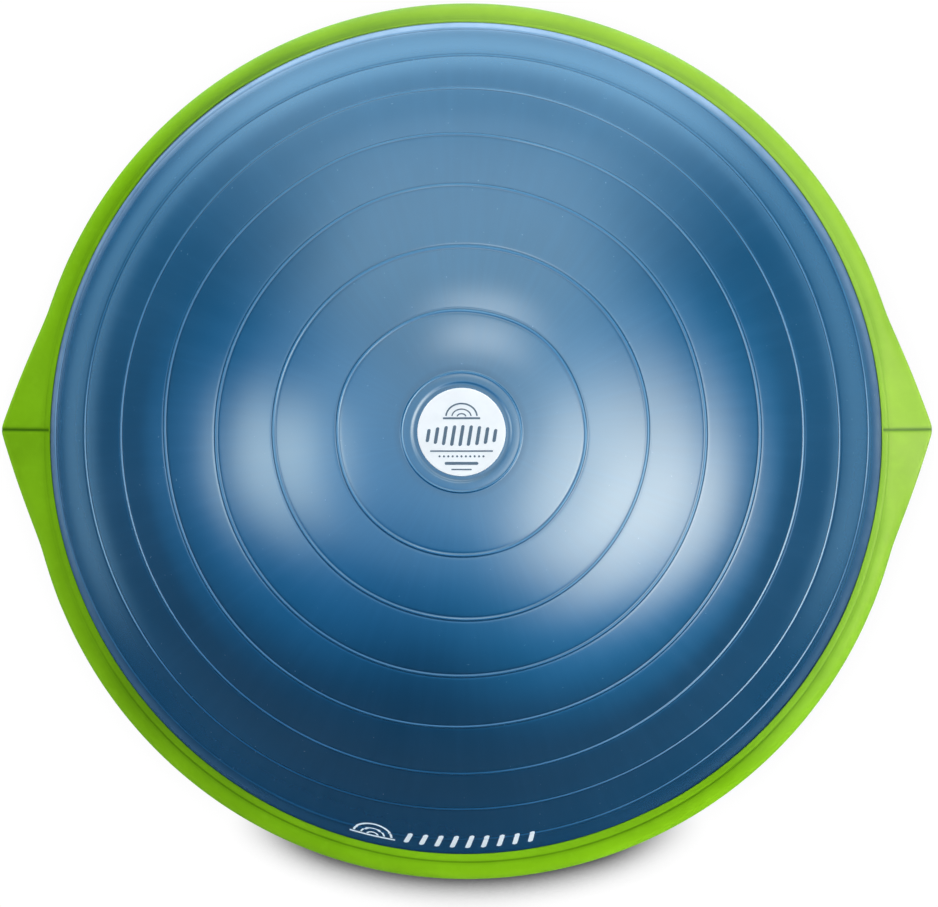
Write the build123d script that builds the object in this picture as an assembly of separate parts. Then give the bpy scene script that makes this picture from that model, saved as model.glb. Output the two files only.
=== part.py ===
from build123d import *
import math
import os

# Balance dome trainer: an air-filled PVC dome clamped by its bead onto a rigid round platform,
# with a soft overmoulded rim that widens into a pointed carrying ear on each side.
#
# Frame: origin on the floor under the centre of the dome, +Z up through the pole, +X through
# the right-hand ear, -Y towards the front. Millimetres.

os.makedirs("parts", exist_ok=True)

# ---- dimensions shared by several pieces ----
GAP = 0.05  # fitting gap between moulded parts
CLEAR = 0.1

RIM_R = 325.0  # outer radius of the round part of the rim
RIM_Z0 = 3.6  # underside of the rim and ears
EAR_TIP = 345.6  # centre line to the point of an ear
EAR_HALF = 89.0  # half length of an ear along the rim
EAR_TURN = 1.3  # degrees each ear is turned towards +Y from the centre line
EAR_END_X = math.sqrt(RIM_R**2 - EAR_HALF**2)  # where an ear's ends meet the round rim
EAR_SLOPE = (EAR_TIP - EAR_END_X) / EAR_HALF

FOOT_H = 3.0  # the pads hold the pan this far off the floor
PAN_WALL = 4.0
PAN_FLOOR_Z1 = FOOT_H + PAN_WALL
PAN_R = 318.5
PAN_FLOOR_R = PAN_R - 7.5
DECK_Z0, DECK_Z1 = 23.0, 28.0  # deck plate underside and top
SEATED_Z = DECK_Z1 + GAP  # underside of what rests on the deck
FLOOR_T = 2.0  # welded floor of the bladder
FLOOR_Z1 = SEATED_Z + FLOOR_T
BEAD_Z1 = 33.0
BEAD_R = 312.0
BEAD_BORE_R = 300.3  # bore of the bead, round the bladder floor
CLAMP_Z1 = 37.0

# clamp screws: the same arc of them on the +Y and -Y halves, clear of the finger recesses
CLAMP_SCREW_PCR = 315.3
CLAMP_SCREWS_PER_HALF = 12
CLAMP_SCREW_FROM = 15.0  # angle of the first from the ear line
CLAMP_SCREW_HEAD_Z0 = 34.5
CLAMP_HOLE_R = 2.1  # in the clamp ring and deck

BOSS_Z0 = 12.0  # underside of the deck's screw bosses
PAN_BOSS_Z1 = BOSS_Z0 - CLEAR

FOOT_N = 8
FOOT_PCR = 282.0
FOOT_R = 14.0
FOOT_SEAT_DEPTH = 1.5
FOOT_STEM_R = 4.0

VALVE_BORE_R = 5.0
VALVE_SEAT_Z0 = 13.0
LABEL_SEAT_Z = 237.7  # flat seat for the printed disc

# lugs of the deck plate, inside the ears
LUG_INSET, LUG_HALF, LUG_BASE = 7.5, 66.0, 290.0

# finger recesses under the ears
POCKET_INSET, POCKET_HALF, POCKET_BASE = 8.6, 58.0, 298.0
POCKET_TOP = 20.0


# ---- general helpers ----
def lines(*points):
    """Straight edges joining the points in turn."""
    return [Line(start, end) for start, end in zip(points, points[1:])]


def rounded(points, radii=None):
    """Face on a closed polygon. radii maps a point's index to a fillet radius."""
    sketch = Sketch() + make_face(Polyline(*points, close=True))
    for index, radius in (radii or {}).items():
        x, y = points[index]
        corner = sorted(sketch.vertices(), key=lambda v: (v.X - x) ** 2 + (v.Y - y) ** 2)[0]
        sketch = fillet(corner, radius)
    return sketch


def spin(points, radii=None):
    """Revolves a closed (r, z) polygon about Z, with optional fillets as in rounded."""
    return revolve(Plane.XZ * rounded(points, radii), Axis.Z, 360)


def spin_box(r0, r1, z0, z1):
    return spin([(r0, z0), (r1, z0), (r1, z1), (r0, z1)])


def cyl(radius, z0, z1, x=0.0, y=0.0):
    align = (Align.CENTER, Align.CENTER, Align.MIN)
    return Pos(x, y, z0) * Cylinder(radius, z1 - z0, align=align)


def on_circle(radius, angles):
    """Points (x, y) on a circle about Z, at angles in degrees."""
    return [
        (radius * math.cos(math.radians(angle)), radius * math.sin(math.radians(angle)))
        for angle in angles
    ]


def polar(count, radius, start=0.0):
    return on_circle(radius, [start + 360 * i / count for i in range(count)])


def clamp_screw_points():
    step = (180.0 - 2 * CLAMP_SCREW_FROM) / (CLAMP_SCREWS_PER_HALF - 1)
    angles = [
        CLAMP_SCREW_FROM + step * i + half_turn
        for half_turn in (0.0, 180.0)
        for i in range(CLAMP_SCREWS_PER_HALF)
    ]
    return on_circle(CLAMP_SCREW_PCR, angles)


CLAMP_SCREW_AT = clamp_screw_points()
PAN_SCREW_AT = polar(6, 128.0, 30.0) + polar(6, 236.0, 0.0)
FOOT_AT = polar(FOOT_N, FOOT_PCR, 22.5)


def largest(shape):
    return Part() + sorted(shape.solids(), key=lambda s: -s.volume)[0]


def save(shape, name):
    solids = shape.solids()
    out = solids[0] if len(solids) == 1 else Compound(children=list(solids))
    out.label = name
    export_step(out, f"parts/{name}.step")


# ---- ear helpers: side is +1 for the right-hand (+X) ear, -1 for the left ----
def ear_plan(side, inset, base, half):
    """Pointed ear outline moved in by inset, cut off at y = +-half and closed at x = base."""
    tip = EAR_TIP - inset * math.hypot(1, EAR_SLOPE)
    end_x = tip - EAR_SLOPE * half
    points = [(base, -half), (end_x, -half), (tip, 0), (end_x, half), (base, half)]
    return [(side * x, y) for x, y in points]


def turned(side, shape):
    """Ear geometry is drawn on the centre line, then turned to where the ear sits."""
    return Rot(0, 0, side * EAR_TURN) * shape


def lug_solid(side, z0, z1, grow=0.0):
    plan = ear_plan(side, LUG_INSET - grow, LUG_BASE, LUG_HALF + grow)
    return Pos(0, 0, z0) * extrude(rounded(plan, {1: 6, 2: 8, 3: 6}), z1 - z0)


def pocket_solid(side, z0, z1, grow=0.0):
    plan = ear_plan(side, POCKET_INSET, POCKET_BASE, POCKET_HALF)
    sketch = rounded(plan, {0: 7, 1: 9, 2: 14, 3: 9, 4: 7})
    if grow:
        sketch = offset(sketch, grow)
    return Pos(0, 0, z0) * extrude(sketch, z1 - z0)


# ---- dome: one skin with ribs, a label seat at the pole and a bead at the foot ----
OVERALL_H = 240.0  # floor to the pole of the dome's sphere
DOME_EDGE_R = 305.0  # dome radius where it goes behind the rim's lip
DOME_EDGE_Z = 43.0  # height of that line
SKIN_T = 3.5
SKIN_END = 66.4  # polar angle where the sphere meets the rolled foot
ROLL_R = 8.0
RIB_N = 7  # concentric ribs outside the label's ring
RIB_FIRST = 39.1  # arc length from the pole to the ring round the label
RIB_PITCH = 46.85  # arc length between ribs
RIB_H = 1.1  # rib height above the skin
RIB_R = 2.6  # rib cross-section radius
LABEL_SEAT_R = 33.0
RING_IN, RING_OUT = 34.2, 41.6  # raised ring round the label
RING_MID_Z = 239.35
BEAD_LIP_R = 292.0  # inner edge of the bead's lip over the bladder floor

# sphere of the dome's outer skin, through the pole and the edge line
CAP_H = OVERALL_H - DOME_EDGE_Z
BALL_R = (DOME_EDGE_R**2 + CAP_H**2) / (2 * CAP_H)
BALL_Z = OVERALL_H - BALL_R
BALL_IN_R = BALL_R - SKIN_T


def ball_point(angle, radius=BALL_R):
    """Point (r, z) on a sphere about the dome's centre, at a polar angle in degrees."""
    polar_angle = math.radians(angle)
    return (radius * math.sin(polar_angle), BALL_Z + radius * math.cos(polar_angle))


def dome_shell():
    ring_angle = math.degrees(math.asin(RING_OUT / BALL_R))
    ring_start = (RING_IN, LABEL_SEAT_Z + 0.7)
    ring_end = ball_point(ring_angle)
    outer_end = ball_point(SKIN_END)
    inner_end = ball_point(SKIN_END - 0.4, BALL_IN_R)
    inner_pole = (0, BALL_Z + BALL_IN_R)

    # the roll is tangent to the sphere and turns it down to a vertical waist
    roll_r, roll_z = ball_point(SKIN_END, BALL_R - ROLL_R)
    waist = (roll_r + ROLL_R, roll_z)
    mid_angle = math.radians((90 - SKIN_END) / 2)
    roll_mid = (roll_r + ROLL_R * math.cos(mid_angle), roll_z + ROLL_R * math.sin(mid_angle))

    outline = lines((0, LABEL_SEAT_Z), (LABEL_SEAT_R, LABEL_SEAT_Z), ring_start)
    outline += [
        ThreePointArc(ring_start, ((RING_IN + RING_OUT) / 2, RING_MID_Z), ring_end),
        ThreePointArc(ring_end, ball_point((ring_angle + SKIN_END) / 2), outer_end),
        ThreePointArc(outer_end, roll_mid, waist),
    ]
    outline += lines(
        waist,
        (waist[0], BEAD_Z1),
        (BEAD_R, BEAD_Z1),
        (BEAD_R, SEATED_Z),
        (BEAD_BORE_R, SEATED_Z),
        (BEAD_BORE_R, FLOOR_Z1 + GAP),
        (BEAD_LIP_R, FLOOR_Z1 + GAP),
        (BEAD_LIP_R, 32.2),
        (301.0, 33.2),
    )
    outline += [ThreePointArc((301.0, 33.2), (303.0, 34.6), (303.6, 37.0))]
    outline += lines((303.6, 37.0), inner_end)
    outline += [ThreePointArc(inner_end, ball_point(SKIN_END / 2, BALL_IN_R), inner_pole)]
    outline += lines(inner_pole, (0, LABEL_SEAT_Z))

    skin = Sketch() + make_face(outline)
    for k in range(1, RIB_N + 1):
        angle = math.degrees((RIB_FIRST + k * RIB_PITCH) / BALL_R)
        rib_r, rib_z = ball_point(angle, BALL_R + RIB_H - RIB_R)
        skin += Pos(rib_r, rib_z) * Circle(RIB_R)
    return revolve(Plane.XZ * skin, Axis.Z, 360)


save(dome_shell(), "dome_shell")

# ---- welded floor that closes the bladder, and the valve seat that passes through it ----
VALVE_STEM_R = 12.4
VALVE_FLANGE_R = 26.0
VALVE_TOP = 35.5

floor_disc = cyl(BEAD_BORE_R - 0.2, SEATED_Z, FLOOR_Z1)
save(floor_disc - cyl(VALVE_STEM_R + 0.2, DECK_Z1 - 1, 31), "bladder_floor")

valve_seat = spin(
    [
        (VALVE_BORE_R, VALVE_SEAT_Z0),
        (VALVE_STEM_R, VALVE_SEAT_Z0),
        (VALVE_STEM_R, FLOOR_Z1 + GAP),
        (VALVE_FLANGE_R, FLOOR_Z1 + GAP),
        (VALVE_FLANGE_R, 31.6),
        (22.5, 32.8),
        (10.0, 32.8),
        (8.4, VALVE_TOP),
        (VALVE_BORE_R, VALVE_TOP),
    ],
    {5: 1.0, 6: 1.0},
)
save(valve_seat, "valve_seat")

# ---- plug: round stopper with a flange, and a bar across the recess in its underside ----
PLUG_R = VALVE_BORE_R - 0.05
PLUG_Z0 = 9.0
PLUG_FLANGE_Z1 = VALVE_SEAT_Z0 - CLEAR

valve_plug = spin(
    [
        (0, PLUG_Z0),
        (14.0, PLUG_Z0),
        (15.0, 10.0),
        (15.0, 12.0),
        (14.2, PLUG_FLANGE_Z1),
        (PLUG_R, PLUG_FLANGE_Z1),
        (PLUG_R, 29.5),
        (3.6, 33.0),
        (0, 33.6),
    ],
    {1: 0.8, 4: 0.6},
)
valve_plug -= spin([(0, 8.0), (9.5, 8.0), (8.6, 10.4), (0, 10.4)])
valve_plug += Pos(0, 0, 9.9) * Box(17.6, 3.0, 1.8)
save(valve_plug, "valve_plug")

# ---- printed disc at the pole ----
LABEL_R = 30.2
LABEL_T = 0.8

pole_label = cyl(LABEL_R, LABEL_SEAT_Z + GAP, LABEL_SEAT_Z + GAP + LABEL_T)
save(fillet(pole_label.edges().group_by(Axis.Z)[-1], 0.3), "pole_label")


# ---- deck plate: flat seat for the bladder, with lugs that stiffen the ears ----
def deck_plate():
    deck = cyl(PAN_R, DECK_Z0, DECK_Z1)
    for side in (-1, 1):
        deck += turned(side, lug_solid(side, DECK_Z0, DECK_Z1))
    deck -= cyl(13.0, DECK_Z0 - 1, DECK_Z1 + 1)  # valve hole
    for x, y in PAN_SCREW_AT:
        deck += cyl(6.0, BOSS_Z0, DECK_Z0, x, y)
    for x, y in PAN_SCREW_AT:
        deck -= cyl(1.8, BOSS_Z0 - 1, 26.0, x, y)
    for x, y in CLAMP_SCREW_AT:
        deck -= cyl(CLAMP_HOLE_R, DECK_Z0 - 1, DECK_Z1 + 1, x, y)
    return deck


save(deck_plate(), "deck_plate")

# ---- base pan: grooved underside, webs inside, recess for the plug ----
PAN_SIDE_IN_R = 311.5
WEB_T = 2.5
WEB_Z0, WEB_Z1 = PAN_FLOOR_Z1 - 0.5, DECK_Z0 - 0.2  # webs stop just short of the deck
WEB_RING_RADII = (82.0, 182.0, 262.0)
WEB_N = 12
WEB_LENGTH, WEB_MID_R = 290.0, 168.0
PORT_R = 24.0  # recess in the pan that the plug sits in
RING_GROOVE_RADII = (50.0, 66.0, 98.0, 114.0, 146.0, 162.0, 178.0, 194.0, 210.0, 258.0)
RADIAL_GROOVE_N = 48


def ring_groove(radius, half_mouth, half_root):
    """Cutter for a groove with sloping sides in the pan's underside."""
    mouth_z, root_z = FOOT_H - 0.5, FOOT_H + 0.9
    return spin(
        [
            (radius - half_mouth, mouth_z),
            (radius + half_mouth, mouth_z),
            (radius + half_root, root_z),
            (radius - half_root, root_z),
        ]
    )


def base_pan():
    pan = spin(
        [
            (0, FOOT_H),
            (PAN_FLOOR_R, FOOT_H),
            (PAN_FLOOR_R, PAN_FLOOR_Z1),
            (PAN_R, PAN_FLOOR_Z1),
            (PAN_R, DECK_Z0 - GAP),
            (PAN_SIDE_IN_R, DECK_Z0 - GAP),
            (PAN_SIDE_IN_R, PAN_FLOOR_Z1),
            (0, PAN_FLOOR_Z1),
        ]
    )
    for r in WEB_RING_RADII:
        pan += cyl(r + WEB_T / 2, WEB_Z0, WEB_Z1) - cyl(r - WEB_T / 2, WEB_Z0 - 1, WEB_Z1 + 1)
    for i in range(WEB_N):
        web = Box(WEB_LENGTH, WEB_T, WEB_Z1 - WEB_Z0)
        web = Pos(WEB_MID_R, 0, (WEB_Z0 + WEB_Z1) / 2) * web
        pan += Rot(0, 0, 15 + 360 / WEB_N * i) * web
    pan += cyl(PORT_R + 3.0, WEB_Z0, WEB_Z1)
    pan -= cyl(PORT_R, FOOT_H - 1, DECK_Z0 + 1)

    # screw bosses, with a head recess below and room for the deck's bosses above
    for x, y in PAN_SCREW_AT:
        pan += cyl(8.5, WEB_Z0, PAN_BOSS_Z1, x, y)
    for x, y in PAN_SCREW_AT:
        pan -= cyl(5.6, FOOT_H - 1, 8.0, x, y) + cyl(2.2, 7.0, 14.0, x, y)
    for x, y in PAN_SCREW_AT:
        pan -= cyl(6.6, PAN_BOSS_Z1, DECK_Z0, x, y)

    # pads drop into shallow seats and are held by their stems
    for x, y in FOOT_AT:
        pan += cyl(9.0, WEB_Z0, 15.0, x, y)
    for x, y in FOOT_AT:
        seat = cyl(FOOT_R + 0.3, FOOT_H - 1, FOOT_H + FOOT_SEAT_DEPTH, x, y)
        pan -= seat + cyl(FOOT_STEM_R + CLEAR, FOOT_H, 13.0, x, y)
    for x, y in CLAMP_SCREW_AT:
        pan -= cyl(2.0, 9.0, DECK_Z0 + 1, x, y)

    # trim round the floor's edge and the side wall
    pan -= spin_box(PAN_FLOOR_R, PAN_R + 20, 0, PAN_FLOOR_Z1)
    pan -= spin_box(PAN_R, PAN_R + 20, 0, 40)

    # anti-slip rings, radial grooves between the outer two, and a wide groove near the edge
    for r in RING_GROOVE_RADII:
        pan -= ring_groove(r, 1.6, 0.8)
    for i in range(RADIAL_GROOVE_N):
        cut = Pos(234.0, 0, FOOT_H) * Box(36.0, 1.8, 1.6)
        pan -= Rot(0, 0, 3.75 + 360 / RADIAL_GROOVE_N * i) * cut
    pan -= ring_groove(304.25, 3.75, 2.75)
    for side in (-1, 1):
        pan -= turned(side, pocket_solid(side, FOOT_H - 1, POCKET_TOP + CLEAR, CLEAR))
    return largest(pan)


save(base_pan(), "base_pan")

# ---- clamp ring over the dome's bead ----
CLAMP_IN_R = 308.3

clamp = spin(
    [
        (CLAMP_IN_R, BEAD_Z1 + GAP),
        (BEAD_R + 0.2, BEAD_Z1 + GAP),
        (BEAD_R + 0.2, SEATED_Z),
        (PAN_R, SEATED_Z),
        (PAN_R, CLAMP_Z1),
        (CLAMP_IN_R, CLAMP_Z1),
    ],
    {4: 1.0},
)
for x, y in CLAMP_SCREW_AT:
    hole = cyl(CLAMP_HOLE_R, DECK_Z1 - 1, CLAMP_Z1 + 1, x, y)
    clamp -= hole + cyl(3.1, CLAMP_SCREW_HEAD_Z0 - CLEAR, CLAMP_Z1 + 1, x, y)
save(clamp, "clamp_ring")


# ---- screws ----
def screw(x, y, head_z0, head_z1, tip_z, head_r, shank_r):
    """Screw with a cross recess in its head. The head faces away from the tip."""
    head_up = tip_z < head_z0
    shank_z0, shank_z1 = (tip_z, head_z0) if head_up else (head_z1, tip_z)
    body = cyl(head_r, head_z0, head_z1, x, y)
    body += cyl(shank_r, shank_z0, shank_z1, x, y)
    cross = Box(head_r * 1.3, 0.9, 2.6) + Box(0.9, head_r * 1.3, 2.6)
    return body - Pos(x, y, head_z1 if head_up else head_z0) * cross


# heights of the head's two faces and of the tip, then head and shank radii
CLAMP_SCREW = (CLAMP_SCREW_HEAD_Z0, 36.9, 9.5, 2.95, 1.95)
PAN_SCREW = (5.2, 7.95, 24.5, 4.3, 1.75)
save(Part() + [screw(x, y, *CLAMP_SCREW) for x, y in CLAMP_SCREW_AT], "clamp_screws")
save(Part() + [screw(x, y, *PAN_SCREW) for x, y in PAN_SCREW_AT], "pan_screws")

# ---- rim band: soft overmould round the edge, with the two ears ----
LIP_R = 307.4  # inner edge of the lip
RIDGE_R = 307.0  # inner end of an ear's ridge
RIDGE_IN_Z, RIDGE_TIP_Z = 45.0, 30.0  # ridge height at the lip and at the point
EAR_END_Z = 27.5  # edge height at the ends of an ear
EAR_PLAN_Z = 28.0  # height where the tapered ear has its plan size
EAR_BLANK_Z1 = 60.0
EAR_TAPER = 7
RIM_FOOT_R = PAN_FLOOR_R + CLEAR
RIM_FOOT_Z1 = PAN_FLOOR_Z1 - GAP
RIM_BORE_R = PAN_R + CLEAR
RIM_BORE_Z1 = CLAMP_Z1 + GAP


def round_rim():
    outline = lines((309.3, RIM_BORE_Z1), (LIP_R, 42.3))
    outline += [ThreePointArc((LIP_R, 42.3), (307.6, 43.0), (308.3, 43.3))]
    outline += lines((308.3, 43.3), (310.6, 43.2), (311.1, 41.7), (311.8, 41.7), (312.3, 42.5))
    outline += [
        ThreePointArc((312.3, 42.5), (319.6, 38.3), (324.0, 30.4)),
        ThreePointArc((324.0, 30.4), (RIM_R, 26.0), (RIM_R, 21.0)),
    ]
    outline += lines((RIM_R, 21.0), (324.6, 11.0))
    outline += [ThreePointArc((324.6, 11.0), (322.6, 5.6), (317.4, RIM_Z0))]
    outline += lines(
        (317.4, RIM_Z0),
        (RIM_FOOT_R, RIM_Z0),
        (RIM_FOOT_R, RIM_FOOT_Z1),
        (RIM_BORE_R, RIM_FOOT_Z1),
        (RIM_BORE_R, RIM_BORE_Z1),
        (309.3, RIM_BORE_Z1),
    )
    return revolve(Plane.XZ * (Sketch() + make_face(outline)), Axis.Z, 360)


def ear(side, ridge_start, ridge_tip):
    """Tapered prism on the ear's plan, cut by two planes that meet along the ridge."""
    # the taper starts from the top, so the plan is grown there by what it loses lower down
    grow = (EAR_BLANK_Z1 - EAR_PLAN_Z) * math.tan(math.radians(EAR_TAPER))
    plan = rounded(ear_plan(side, 0.0, 285.0, EAR_HALF))
    prism = Pos(0, 0, EAR_BLANK_Z1) * extrude(
        offset(plan, grow, kind=Kind.INTERSECTION), RIM_Z0 - EAR_BLANK_Z1, taper=EAR_TAPER
    )
    ridge = ridge_tip - ridge_start
    for y_sign in (-1, 1):
        end = Vector(side * EAR_END_X, y_sign * EAR_HALF, EAR_END_Z)
        normal = ridge.cross(end - ridge_start).normalized()
        if normal.Z < 0:
            normal = normal * -1
        cut = Plane(origin=ridge_start, x_dir=ridge.normalized(), z_dir=normal)
        prism = split(prism, bisect_by=cut, keep=Keep.BOTTOM)
    upper_edges = [
        e
        for e in prism.edges()
        if abs(e.center().X) > 300
        and e.center().Z > 20
        and abs(e.length) > 40
        and abs(e.center().Y) > 5
    ]
    # guards the fillet, which may fail on these edges: the ear then stays sharp
    try:
        return fillet(upper_edges, 2.2)
    except Exception:
        return prism


def rim_band():
    rim = round_rim()
    for side in (-1, 1):
        ridge_start = Vector(side * RIDGE_R, 0, RIDGE_IN_Z)
        ridge_tip = Vector(side * EAR_TIP, 0, RIDGE_TIP_Z)
        rim += turned(side, ear(side, ridge_start, ridge_tip))
        # parting line along the ridge
        along = (ridge_tip - ridge_start).normalized()
        groove = Plane(origin=ridge_start - along * 6, x_dir=(0, 1, 0), z_dir=along) * extrude(
            rounded([(-0.55, 0.6), (0.55, 0.6), (0.0, -0.9)]), 60
        )
        rim -= turned(side, groove)
    # clear the ears from inside the lip, all but a thin skin at the lip radius
    rim -= spin_box(0, LIP_R, 0, 60) - spin_box(LIP_R - 0.1, LIP_R + 0.1, 0, 60)
    rim -= spin(
        [
            (0, -1),
            (RIM_FOOT_R, -1),
            (RIM_FOOT_R, RIM_FOOT_Z1),
            (RIM_BORE_R, RIM_FOOT_Z1),
            (RIM_BORE_R, RIM_BORE_Z1),
            (0, RIM_BORE_Z1),
        ]
    )
    for side in (-1, 1):
        rim -= turned(side, lug_solid(side, DECK_Z0 - GAP, DECK_Z1 + GAP, CLEAR))
        rim -= turned(side, pocket_solid(side, 0, POCKET_TOP + CLEAR, CLEAR))
    return largest(rim)


save(rim_band(), "rim_band")

# ---- grip liners in the finger recesses under the ears ----
GRIP_T = 2.5
GRIP_FLANGE_Z0, GRIP_FLANGE_Z1 = FOOT_H - 1.4, FOOT_H - 0.1


def grip(side):
    liner = pocket_solid(side, GRIP_FLANGE_Z1, POCKET_TOP)
    liner += pocket_solid(side, GRIP_FLANGE_Z0, GRIP_FLANGE_Z1, 3.0)
    liner -= pocket_solid(side, 0, POCKET_TOP - GRIP_T, -GRIP_T)
    # finger ridges across the roof of the recess
    for y in range(-48, 49, 12):
        ridge = Pos(side * 317.0, y, POCKET_TOP - 2.7) * Box(60.0, 2.4, 2.6)
        liner += ridge & pocket_solid(side, POCKET_TOP - 3.9, POCKET_TOP - 2.4, -2.4)
    return turned(side, liner)


save(grip(-1), "left_grip")
save(grip(1), "right_grip")


# ---- foot pads ----
def foot_pad(x, y):
    pad = cyl(FOOT_R, 0, FOOT_H + FOOT_SEAT_DEPTH - CLEAR, x, y)
    pad = fillet(pad.edges().group_by(Axis.Z)[0], 1.0)
    pad += cyl(FOOT_STEM_R, FOOT_H, 12.5, x, y)
    return pad - cyl(6.0, -1, 0.8, x, y)


for i, (x, y) in enumerate(FOOT_AT):
    save(foot_pad(x, y), f"foot_pad_{i + 1}")
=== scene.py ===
"""A round, ribbed air dome of blue vinyl in a green rubber rim, on a dark base with grips and feet.

The dome's axis is +Z through the origin and the floor is at z = 0. The front faces -Y, and the
rim has a pointed ear on either side, at +X and -X. Shapes are measured in mm and turned into
metres by MM; the floor, lights and camera are in metres.
"""

import math

import bmesh
import bpy
import numpy as np
from mathutils import Matrix, Vector
from mathutils.bvhtree import BVHTree


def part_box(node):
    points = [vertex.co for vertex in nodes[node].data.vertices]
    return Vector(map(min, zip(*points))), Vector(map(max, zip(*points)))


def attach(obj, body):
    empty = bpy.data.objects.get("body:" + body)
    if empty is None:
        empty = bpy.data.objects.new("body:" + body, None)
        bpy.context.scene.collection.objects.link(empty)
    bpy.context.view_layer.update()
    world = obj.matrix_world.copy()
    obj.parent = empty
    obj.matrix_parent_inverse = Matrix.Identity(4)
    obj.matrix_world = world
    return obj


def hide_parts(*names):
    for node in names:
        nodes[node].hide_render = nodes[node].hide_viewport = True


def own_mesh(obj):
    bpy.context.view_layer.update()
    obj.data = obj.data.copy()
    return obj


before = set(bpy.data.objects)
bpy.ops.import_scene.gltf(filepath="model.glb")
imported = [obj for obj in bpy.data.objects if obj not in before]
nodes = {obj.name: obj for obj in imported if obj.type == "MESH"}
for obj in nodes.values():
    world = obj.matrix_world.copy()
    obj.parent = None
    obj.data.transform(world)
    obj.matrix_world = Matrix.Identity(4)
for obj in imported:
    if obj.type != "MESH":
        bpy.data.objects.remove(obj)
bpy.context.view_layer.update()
scene = bpy.context.scene
MM = 0.001


# ------------------------------------------------------------------ measures shared by the pieces
def box_mm(node):
    low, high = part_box(node)
    return [v * 1000 for v in low], [v * 1000 for v in high]


dome_lo, dome_hi = box_mm("dome_shell")
rim_hi = box_mm("rim_band")[1]
label_lo, label_hi = box_mm("pole_label")
grip_hi = box_mm("right_grip")[1]

# the sphere through the dome's pole and its visible edge
EDGE_R, EDGE_Z = 305.0, 43.0
POLE_Z = 240.0
SPHERE_R = (EDGE_R**2 + (POLE_Z - EDGE_Z) ** 2) / (2 * (POLE_Z - EDGE_Z))
SPHERE_Z = POLE_Z - SPHERE_R

SEAT_Z = label_lo[2] - 0.05  # flat seat under the printed disc
LABEL_TOP = label_hi[2]
FLANGE_Z = dome_lo[2]
HEM_R = dome_hi[0]
FOOT_Z = 33.0  # height the skin is clamped at
EDGE_OFF = (-0.44, 1.9)  # the inflated skin sits this far off the rim's centre at its foot, (x, y)

EAR_TURN = math.radians(1.3)  # each ear is turned a little towards +Y
TIP_R = rim_hi[0] / math.cos(EAR_TURN)
RIM_R = rim_hi[1]
EAR_HALF = 89.0  # half the width of an ear where it leaves the round rim
CORNER_X = math.sqrt(325.0**2 - EAR_HALF**2)


# ------------------------------------------------------------------ curves
class Wave:
    """Smooth periodic noise in azimuth: a few sines with fixed phases."""

    def __init__(self, seed, low, high, size):
        rng = np.random.default_rng(seed)
        self.orders = np.arange(low, high + 1)
        self.sizes = rng.normal(0, 1, len(self.orders)) / self.orders**0.7
        self.sizes *= size / max(1e-9, np.sqrt((self.sizes**2).sum() / 2))
        self.phases = rng.uniform(0, 2 * math.pi, len(self.orders))

    def __call__(self, phi):
        angles = np.multiply.outer(np.asarray(phi, float), self.orders) + self.phases
        return (self.sizes * np.sin(angles)).sum(-1)


def smooth(x, start, end):
    t = np.clip((np.asarray(x, float) - start) / (end - start), 0, 1)
    return t * t * (3 - 2 * t)


def bell(x, centre, width):
    return np.exp(-(((x - centre) / width) ** 2))


# ------------------------------------------------------------------ mesh helpers
class Rings:
    """Rings of points round the axis, in mm, with the vertex masks that go with them."""

    def __init__(self, cols, *masks):
        self.cols = cols
        self.r, self.z = [], []
        self.masks = {key: [] for key in masks}

    def add(self, r, z, **masks):
        self.r.append(np.broadcast_to(r, self.cols))
        self.z.append(np.broadcast_to(z, self.cols))
        for key, rows in self.masks.items():
            rows.append(np.broadcast_to(masks.get(key, 0.0), self.cols))


def link_mesh(name, mesh, material, smooth_shade=False):
    obj = bpy.data.objects.new(name, mesh)
    scene.collection.objects.link(obj)
    if smooth_shade:
        mesh.polygons.foreach_set("use_smooth", [True] * len(mesh.polygons))
    mesh.materials.append(material)
    return obj


def make_object(name, verts, faces, material, smooth_shade=True):
    mesh = bpy.data.meshes.new(name)
    points = [tuple(v) for v in np.asarray(verts, float)]
    mesh.from_pydata(points, [], [tuple(int(i) for i in f) for f in faces])
    mesh.update()
    return link_mesh(name, mesh, material, smooth_shade)


def ring_faces(rows, cols, closed_profile=False):
    """Quads of a grid whose columns close round the axis. Row r, column c is vertex r * cols + c."""
    faces = []
    for r in range(rows if closed_profile else rows - 1):
        a, b = r * cols, ((r + 1) % rows) * cols
        for c in range(cols):
            d = (c + 1) % cols
            faces.append((a + c, b + c, b + d, a + d))
    return faces


def set_mask(obj, key, values):
    attribute = obj.data.attributes.new(key, "FLOAT", "POINT")
    attribute.data.foreach_set("value", np.asarray(values, np.float32))


def set_sharp(obj, degrees):
    bm = bmesh.new()
    bm.from_mesh(obj.data)
    limit = math.radians(degrees)
    for edge in bm.edges:
        edge.smooth = not (len(edge.link_faces) == 2 and edge.calc_face_angle(0) > limit)
    bm.to_mesh(obj.data)
    bm.free()


def fix_normals(obj):
    bm = bmesh.new()
    bm.from_mesh(obj.data)
    bmesh.ops.recalc_face_normals(bm, faces=bm.faces)
    bm.to_mesh(obj.data)
    bm.free()


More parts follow.
